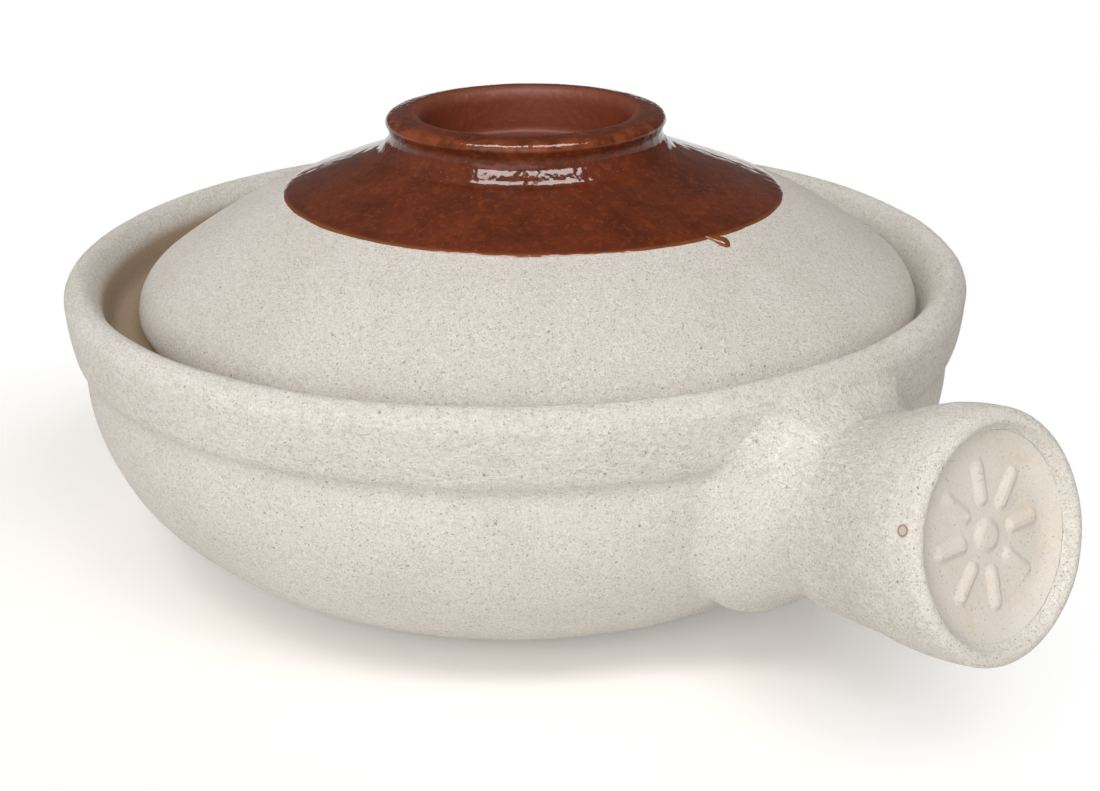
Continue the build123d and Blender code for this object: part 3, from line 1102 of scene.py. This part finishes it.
    def build(self) -> None:
        """Make the handle's two pieces, dress them and set them on the pot."""
        grid, normals = self.rings()
        mouth = Skin.turned(self.mouth_outline(), self.segments, HANDLE_ROOT, HANDLE_ALONG,
                            np.cross(HANDLE_UP, HANDLE_ALONG))
        outward = mouth.normals * np.sign(np.sum(mouth.normals[0, 0] * normals[0, 0]))
        whole = Skin(np.vstack([grid[::-1], mouth.grid]), np.vstack([normals[::-1], outward]))
        reach = (whole.grid - HANDLE_ROOT) @ HANDLE_ALONG
        own = self.soft_wave.at(whole.grid)
        own += self.fine_wave.at(whole.grid) * smooth_step(-reach, *self.fine_range)
        near = smooth_step(-self.wall_depth(whole.grid), *self.wall_fade)
        amount = own * (1 - near) + self.bowl.wave(whole.grid) * near
        amount[:len(self.edge_dips)] -= np.array(self.edge_dips)[:, None]
        barrel = whole.pushed(amount)
        barrel.grid = self.faced(barrel.grid)
        piece = barrel.piece("handle_body")
        dressed(piece, self.clay.material())
        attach(piece, "pot")
        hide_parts("handle_barrel")
        report(piece, "pot")
        self.build_disc()

    def build_disc(self) -> None:
        """Make the pressed end disc with its plain rosette."""
        flat = np.array(self.recess_curve)
        line = Outline.begin(flat[0], (1, 0), self.disc_spacing).line(*flat[1:])
        line.eased(flat[2:4], self.disc_roundings)
        outline = line.line((flat[-1, 0] + 0.02, self.disc_front - 1.5)).array()[::-1]
        skin = Skin.turned(outline, self.disc_segments, HANDLE_ROOT, HANDLE_ALONG, HANDLE_SIDE)
        away = skin.grid - on_handle(self.disc_front)
        right, up = away @ HANDLE_SIDE, away @ HANDLE_UP
        relief = smooth_step(self.boss_radius - np.hypot(right, up), 0.0, self.boss_slope)
        for k in range(self.petal_count):
            angle = 2 * math.pi * k / self.petal_count
            far = right * math.cos(angle) + up * math.sin(angle)
            side = right * -math.sin(angle) + up * math.cos(angle)
            near = np.hypot(far - np.clip(far, *self.petal_ends), side)
            petal = smooth_step(self.petal_half_width - near, 0.0, self.relief_slope)
            relief = np.maximum(relief, petal)
        sign = np.sign(skin.normals[5, 0] @ HANDLE_ALONG)
        disc = skin.pushed(sign * (relief * self.relief_height + self.disc_wave.at(skin.grid)))
        disc.grid = self.faced(disc.grid)
        piece = disc.piece("handle_end")
        dressed(piece, self.disc_clay.material())
        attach(piece, "pot")
        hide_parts("handle_end_disc")
        report(piece, "pot")


def outside_of(closed: Array, flat: Array) -> Array:
    """Return the distance of plane points from a closed line, less than zero inside it.

    Args:
        closed: rows of the line's points, whose first and last lie on the axis (second value or
            first value zero), so that the edge between them isn't a face.
        flat: the points, as the last axis of an array.

    Returns:
        One distance for each point.
    """
    starts, ends = closed[:-1], closed[1:]
    step = ends - starts
    points = flat.reshape(-1, 2)
    near = np.full(len(points), np.inf)
    inside = np.zeros(len(points), bool)
    ring_starts = np.vstack([starts, closed[-1:]])
    ring_ends = np.vstack([ends, closed[:1]])
    for a, d in zip(starts, step):
        share = np.clip(((points - a) @ d) / (d @ d + 1e-12), 0, 1)
        near = np.minimum(near, np.sum((points - a - share[:, None] * d) ** 2, axis=1))
    for a, b in zip(ring_starts, ring_ends):
        crosses = (a[1] > points[:, 1]) != (b[1] > points[:, 1])
        rise = b[1] - a[1] if b[1] != a[1] else 1e-12
        inside ^= crosses & (points[:, 0] < a[0] + (points[:, 1] - a[1]) * (b[0] - a[0]) / rise)
    distance = np.sqrt(near)
    return np.where(inside, -distance, distance).reshape(flat.shape[:-1])


@dataclass
class DepthTable:
    """How far plane points lie outside a closed line, kept on a square grid."""

    low: Array
    pitch: float
    values: Array

    @classmethod
    def of(cls, closed: Array, low: Pair, high: Pair, pitch: float = 0.4) -> "DepthTable":
        """Work the table out.

        Args:
            closed: rows of the line's points.
            low: the grid's lowest corner in millimetres.
            high: its highest corner.
            pitch: the grid's step.

        Returns:
            The table.
        """
        axes = [np.arange(first, last + pitch, pitch) for first, last in zip(low, high)]
        flat = np.stack(np.meshgrid(*axes, indexing="ij"), axis=-1)
        return cls(np.array(low, float), pitch, outside_of(closed, flat))

    def at(self, flat: Array) -> Array:
        """Read the table between its own points.

        Args:
            flat: plane points, as the last axis of an array.

        Returns:
            One depth for each.
        """
        spot = np.clip((flat - self.low) / self.pitch, 0, np.array(self.values.shape) - 1.001)
        cell = spot.astype(int)
        u, v = spot[..., 0] - cell[..., 0], spot[..., 1] - cell[..., 1]
        i, j = cell[..., 0], cell[..., 1]
        near = self.values[i, j] * (1 - v) + self.values[i, j + 1] * v
        far = self.values[i + 1, j] * (1 - v) + self.values[i + 1, j + 1] * v
        return near * (1 - u) + far * u


def blended(first: Array, second: Array, reach: Any) -> Array:
    """Return the depth of two bodies run together with a soft inner corner."""
    overlap = np.maximum(reach - np.abs(first - second), 0) / reach
    return np.minimum(first, second) - overlap**2 * reach / 4


def slope_of(depth: Callable[[Array], Array], points: Array,
             step: float = 0.02) -> tuple[Array, Array]:
    """Work out a depth and its slope.

    Args:
        depth: the depth as a function of places.
        points: the places.
        step: how far the slope is looked for, in millimetres.

    Returns:
        The depth at each point and the unit direction in which it grows.
    """
    here = depth(points)
    slope = np.stack([(depth(points + step * axis) - here) / step for axis in np.eye(3)], axis=-1)
    return here, slope / np.maximum(np.linalg.norm(slope, axis=-1), 1e-9)[..., None]


@dataclass
class DomedLid:
    """The domed lid, its ring knob and the brown coat over both."""

    clay: SandyClay
    glaze: BrownGlaze
    seat_height: float = 66.8
    edge: Pair = (103.6, 71.2)
    edge_round: float = 4.2
    dome: tuple[Pair, ...] = ((41.5, 106.5), (66.1, 97.27), (85, 88), (98.5, 79), (103.6, 71.2))
    dome_heading: Pair = (1, -0.362)
    dish: Pair = (27, 105.7)
    seat_ring: Pair = (95.2, 66.8)
    vault: tuple[Pair, ...] = ((0, 101), (63.8, 91.7), (82.05, 82.83), (94.47, 74.55))
    knob_base: float = 107.0
    flare_hollow: Pair = (39.13, 107.79)
    flare: Pair = (37.70, 109.2)
    low_crease: Pair = (36.0, 111.3)
    neck_hollow: Pair = (35.65, 113.15)
    high_crease: Pair = (36.0, 115.0)
    bead: Pair = (36.5, 116.0)
    lip_outer: Pair = (35.4, 117.5)
    lip_crest: Pair = (31.2, 118.4)
    mouth: Pair = (27.6, 116.2)
    coat_radius: float = 66.15
    coat_thickness: float = 0.34
    run_start: Pair = (66.6, 6.7)
    run_end: Pair = (71.2, 11.1)
    run_half: Pair = (0.75, 1.00)
    run_swell: Pair = (0.25, 0.72)
    run_round: float = 0.76
    run_rise: float = 0.62
    run_rings: int = 30
    run_points: int = 28
    upper_fade: Pair = (69.5, 75.0)
    coat_fade: Pair = (46.0, 65.6)
    coat_edge: Pair = (0.0, 1.6)
    coat_root: float = 0.45
    segments: int = 448
    vault_spacing: float = 3.0
    edge_spacing: float = 0.7
    dome_spacing: float = 1.2
    crown_spacing: float = 2.0
    coat_spacing: float = 0.35
    roundings: tuple[float, ...] = (1.2, 1.2, 2.0)
    coat_roundings: tuple[float, ...] = (1.4, 1.2, 1.8, 0.55, 0.45)
    waves: tuple[Wave, ...] = (Wave(24.0, 9.4, 0.20), Wave(7.0, 4.4, 0.06))
    wanders: tuple[Wave, ...] = (Wave(11.0, 6.2, 0.22), Wave(3.2, 8.2, 0.10))
    coat_wave: Wave = Wave(6.0, 2.9, 0.05)

    def dome_line(self) -> Array:
        """Return the dome's line from the crown out to the edge."""
        line = Outline.begin(self.dome[0], self.dome_heading, self.dome_spacing)
        return line.arc(*self.dome[1:]).array()

    def dome_height(self, radius: Array) -> Array:
        """Return the dome's height at distances from the lid's axis."""
        dome = self.dome_line()
        return np.interp(radius, dome[:, 0], dome[:, 1])

    def outline(self) -> Array:
        """Draw the lid's profile.

        Returns:
            Its points, from under the lid's middle out, round the edge and over the top.
        """
        under_edge = (self.edge[0] - self.edge_round, self.seat_height)
        line = Outline.begin(self.vault[0], (1, 0), self.vault_spacing).arc(*self.vault[1:])
        line.spacing = self.edge_spacing
        line.line(self.seat_ring, under_edge).aimed(1.0, 0.0, self.edge_spacing).arc(self.edge)
        line.points += list(self.dome_line()[::-1][1:])
        line.spacing = self.crown_spacing
        line.line((self.dish[0], self.dome[0][1]), self.dish, (0, self.dish[1]))
        return line.eased((self.seat_ring, under_edge, self.edge), self.roundings).array()

    def coat_outline(self) -> Array:
        """Draw the coat's outer line.

        Returns:
            Its points, from its edge on the dome over the knob to the dish.
        """
        dome = self.dome_line()[::-1]
        start = dome[dome[:, 0] <= self.coat_radius]
        foot = (self.dome[0][0], self.knob_base)
        line = Outline(list(start), np.zeros(2), self.coat_spacing)
        line.line(foot).bend(self.flare_hollow, self.flare).arc(self.low_crease)
        line.bend(self.neck_hollow, self.high_crease).line(self.bead)
        line.aimed(0.0, 1.0, self.coat_spacing).arc(self.lip_outer, self.lip_crest)
        line.aimed(-1.0, 0.0, self.coat_spacing).arc(self.mouth)
        line.line((self.dish[0], self.knob_base), self.dish, (0, self.dish[1]))
        corners = (foot, self.mouth, self.dish, self.low_crease, self.high_crease)
        points = line.eased(corners, self.coat_roundings).array()
        slope = np.gradient(points, axis=0)
        slope /= np.linalg.norm(slope, axis=1)[:, None]
        full = smooth_step(self.coat_radius - points[:, 0], *self.coat_edge)
        depth = self.coat_thickness * (0.35 + 0.65 * full)
        grown = points + depth[:, None] * np.stack([slope[:, 1], -slope[:, 0]], axis=1)
        grown[:, 0] = np.maximum(grown[:, 0], 0.0)
        grown[-1] = (0.0, grown[-1, 1])
        buried = start[0] + np.array([self.coat_root, -self.coat_root])
        return np.vstack([buried, grown])

    def build(self) -> None:
        """Make the lid's shell and its coat, dress them and set them on the lid's body."""
        skin = Skin.turned(self.outline(), self.segments, (*LID_CENTRE, 0.0))
        radius = np.linalg.norm(skin.grid[..., :2] - LID_CENTRE, axis=-1)
        upper = smooth_step(skin.normals[..., 2], -0.1, 0.4) * smooth_step(radius, *self.upper_fade)
        amount = sum(wave.at(skin.grid) for wave in self.waves) * upper
        shell = skin.pushed(amount).piece("lid_shell")
        dressed(shell, self.clay.material())
        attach(shell, "lid")
        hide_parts("lid")
        report(shell, "lid")
        self.build_coat()

    def build_coat(self) -> None:
        """Make the brown coat with its wandering edge and one short run."""
        skin = Skin.turned(self.coat_outline(), self.segments, (*LID_CENTRE, 0.0))
        flat = skin.grid[..., :2] - LID_CENTRE
        radius = np.linalg.norm(flat, axis=-1)
        spoke = flat / np.maximum(radius, 1)[..., None]
        ring = np.dstack([spoke, np.zeros(radius.shape)]) * self.coat_radius
        wander = sum(wave.at(ring) for wave in self.wanders)
        share = smooth_step(radius, *self.coat_fade)
        moved = flat + share[..., None] * (COAT_SHIFT + wander[..., None] * spoke)
        drop = self.dome_height(np.linalg.norm(moved, axis=-1)) - self.dome_height(radius)
        height = skin.grid[..., 2] + drop * (share > 0)
        skin.grid = np.dstack([moved + LID_CENTRE, height])
        coat = skin.pushed(self.coat_wave.at(skin.grid)).piece("glaze_coat")
        run = self.run_drop()
        material = self.glaze.material()
        for piece in (coat, run):
            dressed(piece, material)
            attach(piece, "lid")
            report(piece, "lid")
        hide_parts("lid_glaze")

    def run_drop(self) -> Thing:
        """Make the short run of glaze that left the coat's edge.

        Returns:
            Its object.
        """
        start, end = np.array(self.run_start), np.array(self.run_end)
        along = (end - start) / np.linalg.norm(end - start)
        side = np.array([-along[1], along[0]])
        share = np.linspace(0, 1, self.run_rings)
        half = self.run_half[0] + self.run_half[1] * smooth_step(share, *self.run_swell)
        tip = np.maximum(share - self.run_round, 0) / (1 - self.run_round)
        half *= np.sqrt(np.clip(1 - tip**2, 0, 1))
        half[0], half[-1] = 0.0, 0.0
        turn = np.linspace(0, 2 * math.pi, self.run_points, endpoint=False)
        rings = []
        for reach, width in zip(share, half):
            spot = start + (end - start) * reach + np.outer(np.cos(turn) * width, side)
            height = self.dome_height(np.linalg.norm(spot - LID_CENTRE, axis=1))
            height += 0.02 + np.sin(turn) * width * self.run_rise
            rings.append(np.column_stack([spot, height]))
        grid = np.array(rings)[:, ::-1]
        return Skin(grid, np.zeros(grid.shape)).piece("glaze_run")


@dataclass
class HiddenPieces:
    """The pieces that other clay covers, and the lining that shows once the lid is off."""

    slip: SandyClay
    lining: LiningGlaze
    slip_nodes: tuple[str, ...] = ("handle_slip_joint", "end_disc_slip_joint", "knob_slip_joint")

    def build(self, clay: Material) -> None:
        """Dress the nodes that keep their CAD solids.

        Args:
            clay: the lid's clay, which the knob's body is made of.
        """
        slip = self.slip.material()
        for name in self.slip_nodes:
            dressed(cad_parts[name], slip)
        dressed(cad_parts["bowl_glaze"], self.lining.material())
        dressed(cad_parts["lid_knob"], clay)
        for name in (*self.slip_nodes, "bowl_glaze", "lid_knob"):
            LOG.info("%s keeps its solid", name)


@dataclass
class Studio:
    """The pale floor, the soft lights and the camera."""

    camera_place: Triple = (0.37202, -0.28105, 0.22200)
    camera_turn: Triple = (68.4323, 0.4721, 51.7228)
    camera_shift: float = 0.0018
    lens: float = 58.909
    floor_size: float = 60.0
    floor_middle: Triple = (-0.015, -0.045, 0.0)
    floor_fade: Pair = (0.12, 0.205)
    floor_glow: float = 0.17
    floor_matt: Colour = (0.90, 0.89, 0.88, 1.0)
    floor_bright: Colour = (1.0, 0.965, 0.925, 1.0)
    surround: Colour = (1.0, 0.99, 0.975, 1.0)
    front_strength: float = 0.42
    rear_strength: float = 0.12
    rear_heading: Triple = (-0.45, 0.89, 0.0)
    rear_range: Pair = (0.62, -0.25)
    aim: Triple = (0.0, 0.0, 0.10)
    lamp_reach: float = 1.1
    window_turn: float = -37.0
    panel_turn: float = 23.0
    panel_rise: float = 51.0
    panel_size: Pair = (0.42, 0.27)
    panel_energy: float = 2.6
    pane_rise: float = 72.0
    pane_size: Pair = (0.56, 0.48)
    pane_shift: float = 0.33
    pane_energy: float = 16.0
    sun_heading: Triple = (-0.58, 0.80, -0.25)
    sun_strength: float = 1.48
    fill_heading: Triple = (0.78, -0.58, -0.22)
    fill_strength: float = 0.95
    sun_spread: float = 60.0

    def build(self) -> None:
        """Make the stage."""
        self.build_floor()
        self.build_world()
        self.build_lights()
        self.build_camera()
        bpy.context.scene.view_settings.view_transform = "Standard"

    def build_floor(self) -> None:
        """Make the floor, which is white to the camera and keeps the shadow near the pot."""
        half = self.floor_size / 2
        mesh = bpy.data.meshes.new("floor")
        corners = [(x * half, y * half, 0) for x, y in ((-1, -1), (1, -1), (1, 1), (-1, 1))]
        mesh.from_pydata(corners, [], [(0, 1, 2, 3)])
        floor = added("floor", mesh)
        graph = Graph.of_material("pale_floor")
        away = graph.distance(graph.place(), self.floor_middle)
        path = graph.node("ShaderNodeLightPath")
        seen = Field(graph, path.outputs["Is Camera Ray"]).largest(path.outputs["Is Glossy Ray"])
        seen = seen.largest(path.outputs["Is Transmission Ray"])
        matt, bright = (graph.shader("ShaderNodeBsdfDiffuse", Color=colour)
                        for colour in (self.floor_matt, self.floor_bright))
        white, glow = (graph.shader("ShaderNodeEmission", Color=WHITE, Strength=strength)
                       for strength in (1.0, self.floor_glow))
        near = graph.node("ShaderNodeAddShader", {}, {0: bright, 1: glow}).outputs[0]
        far = away.step(*self.floor_fade)
        shown = graph.node("ShaderNodeMixShader", {}, {0: far, 1: near, 2: white})
        whole = graph.node("ShaderNodeMixShader", {}, {0: seen, 1: matt, 2: shown.outputs[0]})
        graph.shader("ShaderNodeOutputMaterial", Surface=whole.outputs[0])
        dressed(floor, graph.owner)

    def build_world(self) -> None:
        """Make the surround, which is bright on the camera's side and darker behind the pot."""
        world = bpy.data.worlds.new("studio")
        bpy.context.scene.world = world
        graph = Graph(world)
        sight = graph.node("ShaderNodeTexCoord").outputs["Generated"]
        front = graph.along(sight, self.rear_heading).step(*self.rear_range)
        strength = front * (self.front_strength - self.rear_strength) + self.rear_strength
        back = graph.shader("ShaderNodeBackground", Color=self.surround, Strength=strength)
        graph.shader("ShaderNodeOutputWorld", Surface=back)

    def lamp(self, name: str, heading: Pair, size: Pair, shift: float, energy: float) -> Thing:
        """Add one soft panel that faces the knob.

        Args:
            name: the lamp's name.
            heading: where it stands round the pot and its height angle above the knob, in degrees.
            size: its width and height in metres.
            shift: how far it is slid sideways, in metres.
            energy: its power in watts.

        Returns:
            The lamp's object.
        """
        light = bpy.data.lights.new(name, "AREA")
        light.shape = "RECTANGLE"
        light.size, light.size_y = size
        light.energy = energy
        panel = added(name, light)
        turn, rise = map(math.radians, heading)
        flat = Vector((math.cos(turn), math.sin(turn), 0.0)) * math.cos(rise)
        away = flat + Vector((0.0, 0.0, math.sin(rise)))
        aside = Vector((-math.sin(turn), math.cos(turn), 0.0)) * shift
        panel.location = Vector(self.aim) + away * self.lamp_reach + aside
        panel.rotation_euler = away.to_track_quat("Z", "Y").to_euler()
        return panel

    def sun(self, name: str, heading: Triple, strength: float) -> Thing:
        """Add a distant soft glow that shines along a heading.

        Args:
            name: the lamp's name.
            heading: the way that its light goes.
            strength: its strength.

        Returns:
            The lamp's object.
        """
        light = bpy.data.lights.new(name, "SUN")
        light.energy = strength
        light.angle = math.radians(self.sun_spread)
        glow = added(name, light)
        glow.rotation_euler = Vector(heading).to_track_quat("-Z", "Y").to_euler()
        return glow

    def build_lights(self) -> None:
        """Add soft top lights, a window's two panes that show only in the glaze, and two glows."""
        for side in (-1, 1):
            heading = (self.window_turn + self.panel_turn * side, self.panel_rise)
            soft = self.lamp(f"soft_{side}", heading, self.panel_size, 0.0, self.panel_energy)
            soft.visible_glossy = False
            pane = self.lamp(f"pane_{side}", (self.window_turn, self.pane_rise), self.pane_size,
                             self.pane_shift * side, self.pane_energy)
            pane.visible_diffuse = False
        self.sun("front_glow", self.sun_heading, self.sun_strength)
        fill = self.sun("rear_fill", self.fill_heading, self.fill_strength)
        fill.visible_glossy = False

    def build_camera(self) -> None:
        """Set the camera where the photograph was taken from."""
        data = bpy.data.cameras.new("view")
        data.lens = self.lens
        data.sensor_width = 36.0
        data.sensor_fit = "HORIZONTAL"
        data.shift_x = self.camera_shift
        camera = added("view", data)
        camera.location = self.camera_place
        camera.rotation_euler = Euler([math.radians(v) for v in self.camera_turn], "XYZ")
        bpy.context.scene.camera = camera


def main() -> None:
    """Build and dress every sub-assembly in order, then the studio."""
    logging.basicConfig(level=logging.INFO, format="%(name)s: %(message)s")
    # The bowl's clay carries the painted shade of the rim's gap.
    bowl_clay = SandyClay("bowl_clay", tone(224, 219, 211), tone(214, 207, 197),
                          grain=0.46, grain_depth=0.00042, strokes=Strokes.AROUND, gap_shaded=True)
    lid_clay = SandyClay("lid_clay", tone(222, 215, 207), tone(212, 204, 194), grain=0.50,
                         grain_depth=0.00046)
    handle_clay = SandyClay("handle_clay", tone(225, 219, 210), tone(214, 207, 197),
                            grain=0.48, grain_depth=0.00042, strokes=Strokes.ALONG,
                            stroke_depth=0.00060, fleck_share=0.75, marked=True)
    disc_clay = SandyClay("disc_clay", tone(220, 212, 202), tone(210, 201, 188), grain=0.16,
                          grain_depth=0.00016, grit_share=0.5, blotch=0.30)
    slip = SandyClay("fired_slip", tone(206, 196, 178), tone(192, 180, 160), grain_depth=0.0001)
    bowl = Bowl(bowl_clay)
    bowl.build()
    StubHandle(handle_clay, disc_clay, bowl).build()
    DomedLid(lid_clay, BrownGlaze("brown_glaze")).build()
    HiddenPieces(slip, LiningGlaze("lining_glaze")).build(bpy.data.materials["lid_clay"])
    Studio().build()


if __name__ == "__main__":
    main()
